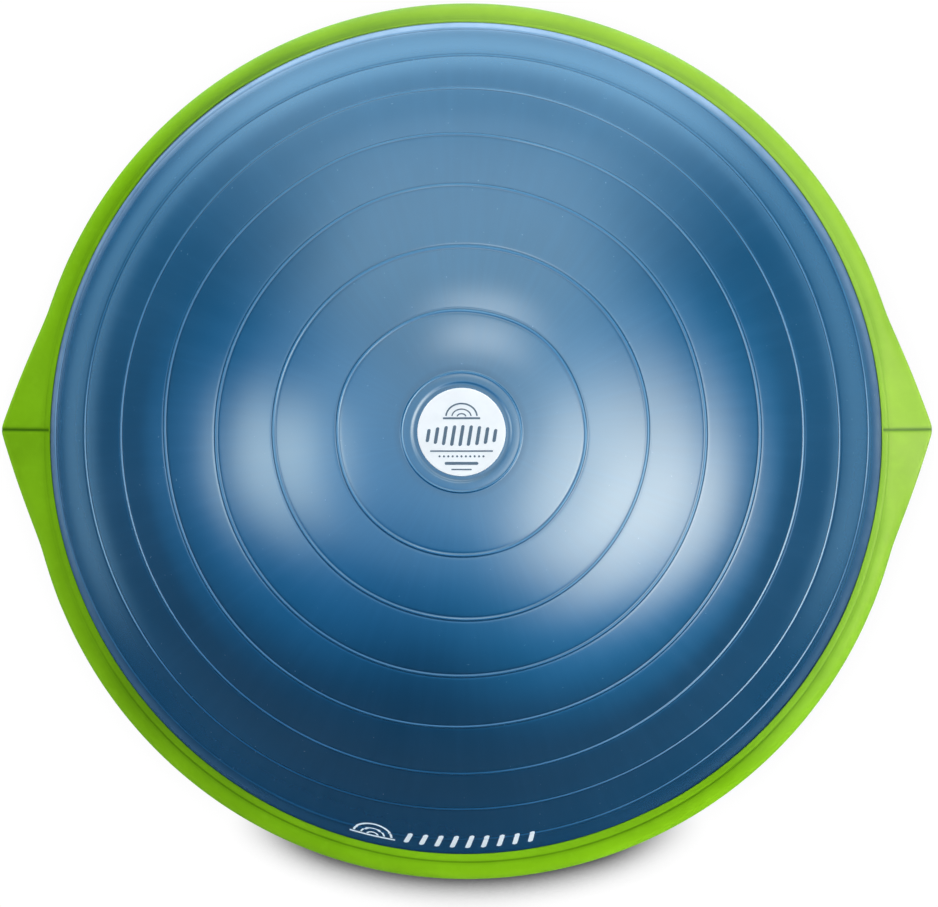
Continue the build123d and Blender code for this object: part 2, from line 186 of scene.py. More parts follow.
# ------------------------------------------------------------------ shader helpers
class Graph:
    """The node tree of a material or world. A helper's value may be a number, a colour or a socket."""

    def __init__(self, owner):
        owner.use_nodes = True
        self.tree = owner.node_tree
        self.tree.nodes.clear()

    def new(self, kind, **settings):
        node = self.tree.nodes.new("ShaderNode" + kind)
        for key, value in settings.items():
            setattr(node, key, value)
        return node

    def feed(self, socket, value):
        if isinstance(value, bpy.types.NodeSocket):
            self.tree.links.new(value, socket)
        elif isinstance(value, tuple) and len(socket.default_value) == 4:
            socket.default_value = (*value, 1.0)
        elif value is not None:
            socket.default_value = value

    def fill(self, node, *values):
        """Feeds a node's inputs in their order."""
        for socket, value in zip(node.inputs, values):
            self.feed(socket, value)
        return node

    def fill_named(self, node, **values):
        for key, value in values.items():
            self.feed(node.inputs[key.replace("_", " ")], value)
        return node

    def math(self, operation, first, second=None, clamp=False):
        node = self.new("Math", operation=operation, use_clamp=clamp)
        return self.fill(node, first, second).outputs[0]

    def vector_math(self, operation, first, second=None, output=0):
        node = self.new("VectorMath", operation=operation)
        return self.fill(node, first, second).outputs[output]

    def remap(self, value, start, end, low=0.0, high=1.0, kind="LINEAR"):
        """Takes start..end to low..high."""
        node = self.new("MapRange", interpolation_type=kind)
        return self.fill(node, value, start, end, low, high).outputs[0]

    def step(self, value, start, end, low=0.0, high=1.0):
        return self.remap(value, start, end, low, high, "SMOOTHSTEP")

    def inverse(self, value):
        return self.math("SUBTRACT", 1.0, value)

    def split(self, vector):
        return self.fill(self.new("SeparateXYZ"), vector).outputs

    def coords(self):
        return self.new("TexCoord").outputs["Object"]

    def mix_shader(self, factor, first, second):
        return self.fill(self.new("MixShader"), factor, first, second).outputs[0]

    def add_shader(self, first, second):
        return self.fill(self.new("AddShader"), first, second).outputs[0]

    def glow(self, colour, strength=1.0):
        return self.fill(self.new("Emission"), colour, strength).outputs[0]


class Material(Graph):
    """A material built on one Principled shader."""

    def __init__(self, name):
        self.material = bpy.data.materials.new(name)
        super().__init__(self.material)
        output = self.new("OutputMaterial")
        self.principled = self.new("BsdfPrincipled")
        self.feed(output.inputs[0], self.principled.outputs[0])

    def surface(self, **values):
        """Feeds the Principled shader and returns the material."""
        self.fill_named(self.principled, **values)
        return self.material

    def noise(self, scale, detail=4.0, rough=0.6, vector=None, distortion=0.0):
        if vector is None:
            vector = self.coords()
        node = self.new("TexNoise")
        self.fill_named(
            node, Scale=scale, Detail=detail, Roughness=rough, Distortion=distortion, Vector=vector
        )
        return node.outputs["Fac"]

    def voronoi(self, scale):
        vector = self.coords()
        node = self.new("TexVoronoi", feature="SMOOTH_F1")
        self.fill_named(node, Scale=scale, Randomness=1.0, Vector=vector)
        return node.outputs["Distance"]

    def mix(self, factor, first, second, blend="MIX"):
        node = self.new("Mix", data_type="RGBA", blend_type=blend, clamp_factor=True)
        self.feed(node.inputs["Factor"], factor)
        for key, value in (("A", first), ("B", second)):
            self.feed([s for s in node.inputs if s.name == key and s.type == "RGBA"][0], value)
        return [s for s in node.outputs if s.type == "RGBA"][0]

    def two_tone(self, pattern, dark, light, start=0.3, end=0.7):
        """Dark where the pattern is below start, light where it is above end."""
        return self.mix(self.remap(pattern, start, end), dark, light)

    def tint(self, base, mask, amount, colour):
        return self.mix(self.math("MULTIPLY", mask, amount), base, colour)

    def weighted(self, first, second, shares):
        scaled = [self.math("MULTIPLY", v, share) for v, share in zip((first, second), shares)]
        return self.math("ADD", *scaled)

    def bump(self, height, strength, distance, normal=None):
        node = self.new("Bump")
        self.fill_named(node, Strength=strength, Distance=distance, Height=height, Normal=normal)
        return node.outputs[0]

    def pebble(self, scale, fine, strength, depth):
        """Fine moulded texture: pebbles with a finer noise over them."""
        pebbles = self.voronoi(scale)
        noise = self.noise(fine, detail=2.0, rough=0.5)
        height = self.math("ADD", pebbles, self.math("MULTIPLY", noise, 0.5))
        return self.bump(height, strength, depth)

    def mask(self, name):
        return self.new("Attribute", attribute_name=name).outputs["Fac"]

    def polar(self, around, along):
        """Coordinates for noise by azimuth and radius: unit direction times around, r times along."""
        x, y, _ = self.split(self.coords())
        x_squared = self.math("MULTIPLY", x, x)
        radius = self.math("SQRT", self.math("ADD", x_squared, self.math("MULTIPLY", y, y)))
        radius = self.math("MAXIMUM", radius, 0.002)
        combined = self.new("CombineXYZ")
        for socket, axis in zip(combined.inputs, (x, y)):
            self.feed(socket, self.math("MULTIPLY", self.math("DIVIDE", axis, radius), around))
        self.feed(combined.inputs[2], self.math("MULTIPLY", radius, along))
        return combined.outputs[0]


# ------------------------------------------------------------------ materials
def vinyl_material():
    m = Material("dome_vinyl")
    rib = m.mask("rib")  # 1 on a rib's crest
    crease = m.mask("crease")  # 1 in the small valleys beside a rib
    cloud = m.noise(scale=7.0)
    streak = m.noise(scale=1.0, vector=m.polar(around=30.0, along=10.0))
    base = m.two_tone(
        cloud, dark=(0.0040, 0.0480, 0.1060), light=(0.0052, 0.0570, 0.1230), start=0.32
    )
    streaks = m.remap(streak, start=0.45, end=0.75)
    base = m.tint(base, streaks, amount=0.30, colour=(0.0066, 0.0680, 0.1430))
    foot = m.mask("foot")  # 1 just above the lip, where a painted reflection of the bright floor lightens the skin
    reflection_level = m.remap(m.noise(scale=30.0), start=0.3, end=0.7, low=0.55, high=1.0)
    base = m.tint(base, foot, amount=reflection_level, colour=(0.21, 0.30, 0.43))
    # painted shade: the small valleys beside each rib are darkened
    base = m.tint(base, crease, amount=0.60, colour=(0.0016, 0.0180, 0.0450))
    # painted highlight: the crests of the ribs are lighter
    base = m.tint(base, rib, amount=0.50, colour=(0.0260, 0.1150, 0.2150))
    speck = m.remap(m.noise(scale=420.0, detail=2.0, rough=0.5), start=0.70, end=0.78)
    base = m.tint(base, speck, amount=0.15, colour=(0.06, 0.13, 0.21))
    gloss = m.weighted(cloud, streak, shares=(0.5, 0.5))
    rough = m.remap(gloss, start=0.35, end=0.65, low=0.17, high=0.23)
    rough = m.math("ADD", rough, m.math("MULTIPLY", speck, 0.08))  # dust is a little duller
    grain = m.noise(scale=2600.0, detail=3.0)
    height = m.weighted(grain, m.voronoi(scale=1500.0), shares=(0.55, 0.45))
    normal = m.bump(height, strength=0.10, distance=0.00004)
    swell = m.noise(scale=46.0, detail=3.0, rough=0.5)
    normal = m.bump(swell, strength=0.05, distance=0.0006, normal=normal)
    mirror_mask = m.math("MULTIPLY", rib, 0.85)  # the ribs mirror bluer than the rest
    return m.surface(
        Base_Color=base, Roughness=rough, Normal=normal, IOR=1.5, Specular_IOR_Level=1.0,
        Specular_Tint=m.mix(mirror_mask, (1.0, 1.0, 1.0), (0.50, 0.80, 1.0)),
    )


def rim_material():
    m = Material("rim_rubber")
    crease = m.mask("crease")
    edge = m.mask("edge")
    cloud = m.noise(scale=16.0)
    mottle = m.noise(scale=120.0, detail=3.0, rough=0.55)
    base = m.two_tone(cloud, dark=(0.117, 0.280, 0.0028), light=(0.146, 0.338, 0.0045))
    spots = m.remap(mottle, start=0.5, end=0.72)
    base = m.tint(base, spots, amount=0.16, colour=(0.19, 0.41, 0.014))
    # painted highlight along the top of the lip and the rounded outer edge of the crown
    base = m.tint(base, edge, amount=0.24, colour=(0.21, 0.43, 0.020))
    # painted shade: the groove, the gap at the lip, the parting line along each ear and the lower
    # outer wall are darkened
    base = m.tint(base, crease, amount=0.92, colour=(0.022, 0.080, 0.0012))
    scuff_noise = m.noise(scale=38.0, detail=6.0, rough=0.75, distortion=0.6)
    scuff = m.remap(scuff_noise, start=0.66, end=0.74)
    base = m.tint(base, scuff, amount=0.12, colour=(0.26, 0.44, 0.05))
    # painted sheen: from the front left to the back right the colour shifts a little towards a lit
    # tone and the sheen grows
    x, y, _ = m.split(m.coords())
    across = m.weighted(x, y, shares=(0.7, 0.7))
    shift = m.remap(across, start=-0.04, end=0.22)
    base = m.mix(shift, base, (1.03, 0.84, 1.6), blend="MULTIPLY")
    rough = m.remap(mottle, start=0.3, end=0.7, low=0.50, high=0.62)
    normal = m.pebble(scale=1100.0, fine=5200.0, strength=0.55, depth=0.00005)
    return m.surface(
        Base_Color=base, Roughness=rough, Normal=normal,
        Specular_IOR_Level=m.remap(across, start=-0.04, end=0.22, low=0.02, high=0.46),
        Specular_Tint=(1.0, 0.78, 0.50), IOR=1.48,
        Sheen_Weight=0.02, Sheen_Roughness=0.5, Sheen_Tint=(0.8, 1.0, 0.5),
        Subsurface_Weight=0.04, Subsurface_Radius=(0.0012, 0.0018, 0.0004),
    )


def platform_material():
    m = Material("platform_plastic")
    cloud = m.noise(scale=9.0)
    base = m.two_tone(cloud, dark=(0.020, 0.0215, 0.0235), light=(0.031, 0.033, 0.036))
    scratch_coords = m.polar(around=26.0, along=260.0)
    scratch_noise = m.noise(1.0, detail=5.0, rough=0.75, vector=scratch_coords, distortion=0.4)
    scratch = m.remap(scratch_noise, start=0.64, end=0.70)
    base = m.tint(base, scratch, amount=0.30, colour=(0.10, 0.105, 0.11))
    rough = m.remap(cloud, start=0.3, end=0.7, low=0.52, high=0.62)
    rough = m.math("SUBTRACT", rough, m.math("MULTIPLY", scratch, 0.12))  # scratches are glossier
    normal = m.pebble(scale=700.0, fine=3000.0, strength=0.7, depth=0.00010)
    return m.surface(Base_Color=base, Roughness=rough, Normal=normal, IOR=1.49)


def grip_material():
    m = Material("grip_rubber")
    cloud = m.noise(scale=40.0)
    base = m.two_tone(cloud, dark=(0.036, 0.038, 0.041), light=(0.055, 0.057, 0.061))
    normal = m.pebble(scale=1300.0, fine=5200.0, strength=0.7, depth=0.00008)
    rough = m.remap(cloud, start=0.3, end=0.7, low=0.66, high=0.78)
    return m.surface(Base_Color=base, Roughness=rough, Normal=normal, IOR=1.5, Sheen_Weight=0.2)


def foot_material():
    m = Material("foot_rubber")
    cloud = m.noise(scale=70.0)
    dirt = m.remap(m.noise(scale=210.0, rough=0.7), start=0.52, end=0.75)
    base = m.two_tone(cloud, dark=(0.013, 0.013, 0.014), light=(0.024, 0.024, 0.026))
    base = m.tint(base, dirt, amount=0.35, colour=(0.11, 0.105, 0.10))
    normal = m.pebble(scale=1600.0, fine=5600.0, strength=0.7, depth=0.00008)
    rough = m.remap(dirt, start=0, end=1, low=0.68, high=0.88)
    return m.surface(Base_Color=base, Roughness=rough, Normal=normal)


def white_plastic(name, tone, rough):
    m = Material(name)
    cloud = m.noise(scale=60.0)
    base = m.two_tone(cloud, dark=tuple(c * 0.93 for c in tone), light=tone)
    grain = m.noise(scale=3000.0, detail=2.0, rough=0.5)
    normal = m.bump(grain, strength=0.15, distance=0.00004)
    rough = m.remap(cloud, start=0.3, end=0.7, low=rough - 0.05, high=rough + 0.05)
    return m.surface(Base_Color=base, Roughness=rough, Normal=normal)


def ink_material(name, tone, rough=0.5, **glow):
    m = Material(name)
    cloud = m.noise(scale=900.0, detail=3.0)
    base = m.two_tone(cloud, dark=tuple(c * 0.86 for c in tone), light=tone)
    return m.surface(Base_Color=base, Roughness=rough, **glow)


def steel_material():
    m = Material("screw_steel")
    cloud = m.noise(scale=300.0)
    base = m.two_tone(cloud, dark=(0.42, 0.43, 0.45), light=(0.60, 0.61, 0.63))
    normal = m.bump(m.noise(scale=2400.0, detail=3.0), strength=0.25, distance=0.00004)
    rough = m.remap(cloud, start=0.3, end=0.7, low=0.30, high=0.44)
    return m.surface(Base_Color=base, Metallic=1.0, Roughness=rough, Normal=normal)


VINYL = vinyl_material()
RIM = rim_material()
PLATFORM = platform_material()
GRIP = grip_material()
FOOT = foot_material()
STEEL = steel_material()
LABEL = white_plastic("printed_disc", tone=(0.95, 0.95, 0.94), rough=0.42)
PLUG = white_plastic("plug_plastic", tone=(0.80, 0.81, 0.82), rough=0.34)
VALVE = white_plastic("valve_plastic", tone=(0.50, 0.52, 0.55), rough=0.38)
INK = ink_material("label_ink", tone=(0.050, 0.068, 0.085))
# painted light: the pale print on the dome glows faintly of its own
PALE_INK = ink_material(
    "dome_ink", tone=(0.84, 0.92, 0.98), rough=0.45,
    Emission_Color=(0.72, 0.86, 1.0), Emission_Strength=0.16,
)

# every piece that isn't listed is a rubber foot
MATERIAL_OF = {
    "dome_shell": VINYL, "bladder_floor": VINYL,
    "valve_seat": VALVE, "valve_plug": PLUG, "pole_label": LABEL,
    "deck_plate": PLATFORM, "base_pan": PLATFORM, "clamp_ring": PLATFORM,
    "clamp_screws": STEEL, "pan_screws": STEEL,
    "rim_band": RIM, "left_grip": GRIP, "right_grip": GRIP,
}
for name, obj in nodes.items():
    obj.data.materials.clear()
    obj.data.materials.append(MATERIAL_OF.get(name, FOOT))


# ------------------------------------------------------------------ the dome's skin
# places on the skin are arc lengths from the pole
RIB_S = [39.1 + 46.85 * k for k in range(1, 8)]
RIB_HALF_W = 1.25
RIB_H = 0.62
RIB_OFF = [  # drift of each rib's centre, (x, y)
    (-0.4, -0.3), (-0.5, 0.3), (-0.8, 1.1), (-1.1, 2.0), (-1.5, 2.3), (-1.6, 2.5), (-3.2, 3.5),
]
BEAD_R = 42.4  # outer radius of the ring round the printed disc
BEAD_S = SPHERE_R * math.asin(BEAD_R / SPHERE_R)
END_ANGLE = math.radians(66.4)  # from the pole to where the skin rolls under the lip
END_S = SPHERE_R * END_ANGLE
ROLL_R = 4.0
SKIN_WALL = 3.5
SEAT_WALL = 2.2
DOME_COLS = 432

SPACING_WAVES = [
    Wave(100 + k, 2, 7, size) for k, size in enumerate([0.5, 0.6, 0.7, 0.8, 0.9, 1.1, 1.1])
]
HEIGHT_WAVES = [Wave(200 + k, 3, 11, 0.09) for k in range(7)]
SKIN_WAVES = [Wave(300 + k, 2, 6, 0.16) for k in range(4)]

# seat of the printed disc and the step round it: radius, height above the seat, crease
SEAT_RINGS = [
    (4.0, 0, 0), (12.0, 0, 0), (20.0, 0, 0), (27.0, 0, 0), (30.0, 0, 0),
    (30.9, -0.02, 0.5), (31.6, -0.10, 0.9), (32.4, -0.16, 1.0),
    (33.1, -0.12, 0.8), (33.7, 0.06, 0.5), (34.3, 0.34, 0.2),
]


def skin_radius(s, phi):
    """Distance of the outer skin from the sphere's centre, and the rib and crease masks."""
    radius = SPHERE_R + np.zeros_like(s)
    rib = np.zeros_like(s)
    crease = np.zeros_like(s)
    # the skin is pulled in a little at each rib and swells between them
    bounds = [BEAD_S] + RIB_S + [END_S]
    for start, end in zip(bounds[:-1], bounds[1:]):
        u = np.clip((s - start) / (end - start), 0, 1)
        inside = (s >= start) & (s <= end)
        amount = 0.55 if end - start > 30 else 0.3
        radius += np.where(inside, amount * (4 * u * (1 - u)) - 0.25 * amount, 0)
    for rib_s, height_wave in zip(RIB_S, HEIGHT_WAVES):
        away = np.abs(s - rib_s)
        crest = np.cos(np.clip(away / RIB_HALF_W, 0, 1) * math.pi / 2) ** 1.35
        radius += (RIB_H + height_wave(phi)) * crest
        radius -= 0.12 * bell(away, RIB_HALF_W + 0.5, 0.6)
        rib = np.maximum(rib, bell(away, 0, 0.8))
        crease = np.maximum(crease, bell(away, RIB_HALF_W + 0.25, 0.55))
    unevenness = sum(
        wave(phi + 0.7 * i) * np.sin(s / (52.0 + 17 * i) + i) for i, wave in enumerate(SKIN_WAVES)
    )
    radius += unevenness * smooth(s, 40, 90) * (1 - smooth(s, 350, 380))
    radius += 1.3 * smooth(s, 340, 380)  # pressed out against the lip
    return radius, rib, crease


def skin_arcs():
    """Arc length of each row of the skin, dense across each rib."""
    reach = 5.2
    across_rib = np.concatenate([
        np.linspace(-reach, -2.9, 4), np.linspace(-2.4, 2.4, 19), np.linspace(2.9, reach, 4),
    ])
    arcs = []
    for rib_s in RIB_S:
        gap = np.linspace(arcs[-1] if arcs else BEAD_S, rib_s - reach, 9)
        arcs += list(gap[(1 if arcs else 0):-1]) + list(rib_s + across_rib)
    arcs += list(np.linspace(arcs[-1], END_S, 9)[1:])
    return np.array(arcs)


def skin_grid(arcs, phi):
    """Radius, height, rib and crease of the ribbed skin, a row for each arc length."""
    s, azimuth = np.meshgrid(arcs, phi, indexing="ij")
    shift = np.zeros_like(s)
    for k, rib_s in enumerate(RIB_S):
        reach = 20.0 if k < 5 else 13.0
        off_x, off_y = RIB_OFF[k]
        drift = off_x * np.cos(azimuth) + off_y * np.sin(azimuth)
        drift /= math.cos(rib_s / SPHERE_R)
        shift += (SPACING_WAVES[k](azimuth) + drift) * bell(s, rib_s, reach)
    shift *= 1 - smooth(s, END_S - 7.0, END_S)
    radius, rib, crease = skin_radius(s, azimuth)
    angle = (s + shift) / SPHERE_R
    return radius * np.sin(angle), SPHERE_Z + radius * np.cos(angle), rib, crease


def add_bead(rings):
    """The low ring round the printed disc, with a fine ridge on its outer side."""
    start_z = SEAT_Z + 0.55
    end_z = SPHERE_Z + math.sqrt(SPHERE_R**2 - BEAD_R**2)
    for r in np.concatenate([np.linspace(34.9, 39.2, 7), np.linspace(39.6, 42.2, 12)]):
        u = (r - 34.9) / 7.0
        fine = bell(r, 41.0, 0.62)
        ditch = bell(r, 39.7, 0.45)
        swell = 0.22 * math.sin(math.pi * min(1, u))
        z = start_z * (1 - u) + end_z * u + swell + 0.52 * fine
        rings.add(r, z, rib=fine, crease=0.7 * ditch)
    rings.add(42.6, end_z - 0.04, crease=0.9)


def add_foot(rings, end_r, end_z):
    """The roll under the rim's lip, the clamped hem, and the way back up inside it."""
    centre_r = end_r - ROLL_R * math.sin(END_ANGLE)
    centre_z = end_z - ROLL_R * math.cos(END_ANGLE)
    for t in np.linspace(END_ANGLE + 0.06, math.pi / 2, 8):
        r, z = centre_r + ROLL_R * math.sin(t), centre_z + ROLL_R * math.cos(t)
        rings.add(r, z, crease=smooth(t, END_ANGLE, math.pi / 2))
    waist = centre_r + ROLL_R
    for r, z in [
        (waist, 34.4), (waist + 0.25, 33.4), (waist + 0.9, FOOT_Z),
        (HEM_R - 0.8, FOOT_Z), (HEM_R - 0.1, 32.4),
        (HEM_R - 0.1, FLANGE_Z + 0.5), (HEM_R - 0.7, FLANGE_Z + 0.02),
    ]:
        rings.add(r, z, crease=1)
    for r, z in [
        (300.4, FLANGE_Z + 0.02), (300.4, FLANGE_Z + 2.1), (292.0, FLANGE_Z + 2.1),
        (292.0, 32.2), (301.0, 33.2), (303.2, 35.0),
    ]:
        rings.add(r, z)


def build_dome():
    cols = DOME_COLS
    phi = np.linspace(0, 2 * math.pi, cols, endpoint=False)
    rings = Rings(cols, "rib", "crease")
    for r, rise, crease in SEAT_RINGS:
        rings.add(r, SEAT_Z + rise, crease=crease)
    add_bead(rings)
    arcs = skin_arcs()
    skin_r, skin_z, rib, crease = skin_grid(arcs, phi)
    for i in np.flatnonzero(arcs >= BEAD_S + 0.6):
        rings.add(skin_r[i], skin_z[i], rib=rib[i], crease=crease[i])
    add_foot(rings, np.mean(skin_r[-1]), np.mean(skin_z[-1]))
    # inner side of the skin
    inner_r = SPHERE_R - SKIN_WALL
    for t in np.linspace(math.radians(65.6), math.radians(1.0), 46):
        z = min(SPHERE_Z + inner_r * math.cos(t), SEAT_Z - SEAT_WALL)
        rings.add(inner_r * math.sin(t), z)

    r, z = np.array(rings.r), np.array(rings.z)
    # drift of the swollen skin, nothing at the pole and nothing at the clamped hem
    drift = smooth(r, 60.0, 285.0) * smooth(z, 33.5, 40.0)
    x = r * np.cos(phi) + EDGE_OFF[0] * drift
    y = r * np.sin(phi) + EDGE_OFF[1] * drift
    verts = np.stack([x, y, z], -1).reshape(-1, 3) * MM
    faces = ring_faces(len(r), cols)
    # a vertex on the axis closes each side
    top = len(verts)
    verts = np.vstack([verts, [[0, 0, SEAT_Z * MM], [0, 0, (SEAT_Z - SEAT_WALL) * MM]]])
    last = (len(r) - 1) * cols
    for c in range(cols):
        d = (c + 1) % cols
        faces.append((top, c, d))
        faces.append((top + 1, last + d, last + c))
    obj = make_object("dome_skin", verts, faces, VINYL)
    # painted reflection of the bright floor just above the lip, strongest at the back
    around = (0.5 + 0.5 * np.cos(phi - math.radians(95))) ** 0.8
    foot = smooth(r, 297.0, EDGE_R) * (z > 38.0) * (z < 75.0) * around
    for key, grid in (*rings.masks.items(), ("foot", foot)):
        set_mask(obj, key, np.append(np.array(grid), [0, 0]))
    return obj


dome = build_dome()
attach(dome, "base")
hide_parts("dome_shell")


# ------------------------------------------------------------------ the rim with its ears
EAR_POINT = TIP_R + 0.6  # where an ear's edges meet, before the point is rubbed round
POCKET_HALF = 58.3  # half width of the pocket under each ear, where the grip sits
POCKET_POINT = grip_hi[0] - 2.8
BAND_R, BAND_Z = 312.3, 42.60  # top inner edge of the band, outside the lip's groove
CROWN_STEPS = 26
EAR_EDGE_R = 3.2  # rounding of an ear's upper edge
SEAM_DEPTH = 0.45  # parting line along the ridge of each ear
BOTTOM_R, WALL_R = 311.1, 318.6  # inner edge of the underside, and the wall inside the band

# gaps between the lip and the skin: azimuth and half width in degrees, opening in mm
LIP_GAPS = [(318, 26, 0.6), (131, 12, 0.65)]

# groove between the lip and the band: radius, height, share of the fold's depth, crease
GROOVE_RINGS = [
    (310.85, 42.82, 0.37, 1), (311.15, 42.75, 0.70, 1), (311.5, 42.70, 0.65, 1),
    (311.85, 42.65, 0.30, 0.8), (BAND_R, BAND_Z, 0, 0.2),
]

# outer wall and bottom round: inset, share of the notch, height, crease on the ridge, crease
WALL_RINGS = [
    (0.25, 1, 18.0, 1, 0), (0.6, 1, 11.0, 1, 0), (1.3, 1, 7.6, 0.6, 0),
    (2.9, 0.5, 5.1, 0, 0.2), (5.0, 0, 3.95, 0, 0.3), (7.2, 0, 3.65, 0, 0.4),
]


def from_ear(phi):
    """Angle of azimuth phi away from the ridge of the nearer ear."""
    phi = np.asarray(phi, float)
    return np.abs(np.arctan2(np.sin(phi), np.abs(np.cos(phi))) - EAR_TURN)


def ear_edge(phi, point, slope):
    """Where azimuth phi meets the line from an ear's point: along the ridge, and away from it."""
    t = np.tan(np.minimum(from_ear(phi), 1.2))
    along = point / (1 + slope * t)
    return along, along * t


def ear_outline(phi):
    """Outer radius of the rim seen from above at azimuth phi."""
    x, y = ear_edge(phi, EAR_POINT, (EAR_POINT - CORNER_X) / EAR_HALF)
    # the edge is swollen a little along its length
    edge = np.hypot(x, y) + 1.2 * np.sin(np.clip(y / EAR_HALF, 0, 1) * math.pi)
    blend = 1.6  # how tightly the edge meets the round rim
    both = np.logaddexp(blend * edge, blend * RIM_R) / blend
    angle = from_ear(phi)
    both = both - 1.0 * np.exp(-angle / 0.006)  # the very point is rubbed round
    return np.where(angle < 0.42, both, RIM_R)


def rim_azimuths(pocket_limit):
    """Azimuths of the rim's columns, dense at each ear's point and corners."""
    corner = math.atan2(EAR_HALF, CORNER_X)
    quarter = np.concatenate([
        np.array([0.0, 0.0010, 0.0022, 0.0042, 0.0075]),
        np.linspace(0.012, corner - 0.05, 34),
        np.linspace(corner - 0.045, corner + 0.05, 22),
        np.linspace(corner + 0.06, math.pi / 2 + EAR_TURN, 74),
    ])
    right = np.concatenate([EAR_TURN - quarter[::-1], EAR_TURN + quarter[1:]])
    right = right[(right > -math.pi / 2 + 0.004) & (right < math.pi / 2 - 0.004)]
    phi = np.concatenate([right, math.pi - right, [math.pi / 2, 1.5 * math.pi]])
    phi = np.unique(np.round(phi % (2 * math.pi), 7))
    # a close pair of columns at each end of a pocket
    pairs = [
        (centre + side * (pocket_limit + d)) % (2 * math.pi)
        for centre in (EAR_TURN, math.pi - EAR_TURN) for side in (-1, 1) for d in (-0.0002, 0.0002)
    ]
    return np.unique(np.round(np.concatenate([phi, pairs]), 7))


def add_lip(rings, phi, ridge):
    """Inner face, lip, and the groove outside it."""
    lip_z = 42.45 + Wave(41, 2, 9, 0.05)(phi)
    # the lip's inner edge follows the swollen skin round, with a gap that opens and closes a little
    lip_in = 307.05 + EDGE_OFF[0] * np.cos(phi) + EDGE_OFF[1] * np.sin(phi)
    lip_in = lip_in + Wave(43, 2, 5, 0.15)(phi)
    for centre, reach, opening in LIP_GAPS:
        away = np.abs((np.degrees(phi) - centre + 180) % 360 - 180)
        lip_in = lip_in + opening * (1 - smooth(away, reach * 0.55, reach))
    lip_in = np.minimum(lip_in, 309.7)
    rings.add(310.2, 37.15, crease=1)
    rings.add(np.minimum(np.maximum(lip_in + 1.0, 308.8), 310.1), 39.8, crease=0.9)
    rings.add(lip_in + 0.3, 41.8, crease=0.6)
    lip_r = np.minimum(0.55, (310.7 - lip_in) * 0.3)
    lip_centre = lip_in + lip_r
    for t in np.linspace(0, 1, 7):
        angle = math.pi * (1 - t * 0.5)
        r, z = lip_centre + lip_r * math.cos(angle), lip_z + lip_r * math.sin(angle)
        rings.add(r, z, crease=0.25 * (1 - t), edge=0.5 * t)
    for q in (0.35, 0.7):
        z = lip_z + lip_r + (0.62 - lip_r) * q * 0.9 - 0.35 * ridge
        r = lip_centre + (310.35 - lip_centre) * q
        rings.add(r, z, crease=ridge, edge=0.5 * (1 - q))
    sag = lip_z - 42.45 - SEAM_DEPTH * ridge
    rings.add(310.6, 42.90 + sag, crease=np.maximum(ridge, 0.1))
    # the groove is deepest in front and hardly there at the ears and the back
    fold = 0.15 + 0.45 * smooth(-np.sin(phi), 0.35, 0.85)
    for r, z, depth, crease in GROOVE_RINGS:
        rings.add(r, z - depth * fold + sag, crease=np.maximum(ridge, crease * fold))


def add_crown(rings, outline, edge_z, ear, ridge):
    """Top of the band: a rounded fall on the plain rim, a long flat facet on an ear."""
    flat_r, flat_z = outline - EAR_EDGE_R, edge_z + 2.4  # outer end of the facet
    facet_share = 0.72
    for i in range(1, CROWN_STEPS + 1):
        u = i / CROWN_STEPS
        # rounded: quarter of a superellipse
        angle = u * math.pi / 2
        round_r = BAND_R + (outline - BAND_R) * math.sin(angle) ** 0.92
        drop_share = math.cos(angle) ** 0.80 if u < 1 else 0
        round_z = edge_z + (BAND_Z - edge_z) * drop_share
        # ear: flat facet, then a small rounded edge
        if u <= facet_share:
            q = u / facet_share
            ear_r = BAND_R + (flat_r - BAND_R) * q
            ear_z = BAND_Z + (flat_z - BAND_Z) * q - 0.5 * math.sin(math.pi * q)
        else:
            angle = (u - facet_share) / (1 - facet_share) * math.pi / 2
            ear_r = flat_r + EAR_EDGE_R * math.sin(angle)
            ear_z = edge_z + (flat_z - edge_z) * math.cos(angle)
        # parting line: a narrow notch along the ridge of each ear
        seam = ridge * (SEAM_DEPTH + 0.30 * smooth(u, 0.02, 0.10)) * (1 - 0.3 * u)
        rings.add(
            round_r * (1 - ear) + ear_r * ear, round_z * (1 - ear) + ear_z * ear - seam,
            crease=np.maximum(ridge, 0.15 * (1 - smooth(u, 0, 0.1))), edge=bell(u, 0.84, 0.10),
        )


def add_underside(rings, outline, pocket):
    """The return to the pan, with the pocket under each ear."""
    has = pocket > 0
    inner_r = np.minimum(np.maximum(pocket, 311.4), outline - 7.4)
    inner_r = np.where(has, inner_r, BOTTOM_R)
    roof_r = np.maximum(WALL_R, np.minimum(inner_r, outline - 9))
    rings.add(inner_r + 0.2, 3.6, crease=0.5)
    rings.add(inner_r, 3.9, crease=0.6)
    rings.add(inner_r, np.where(has, 20.1, 6.95), crease=1)
    rings.add(np.where(has, roof_r, WALL_R), np.where(has, 20.4, 6.96), crease=1)
    rings.add(WALL_R, np.where(has, 20.6, 7.2), crease=1)
    rings.add(WALL_R, 37.05, crease=1)


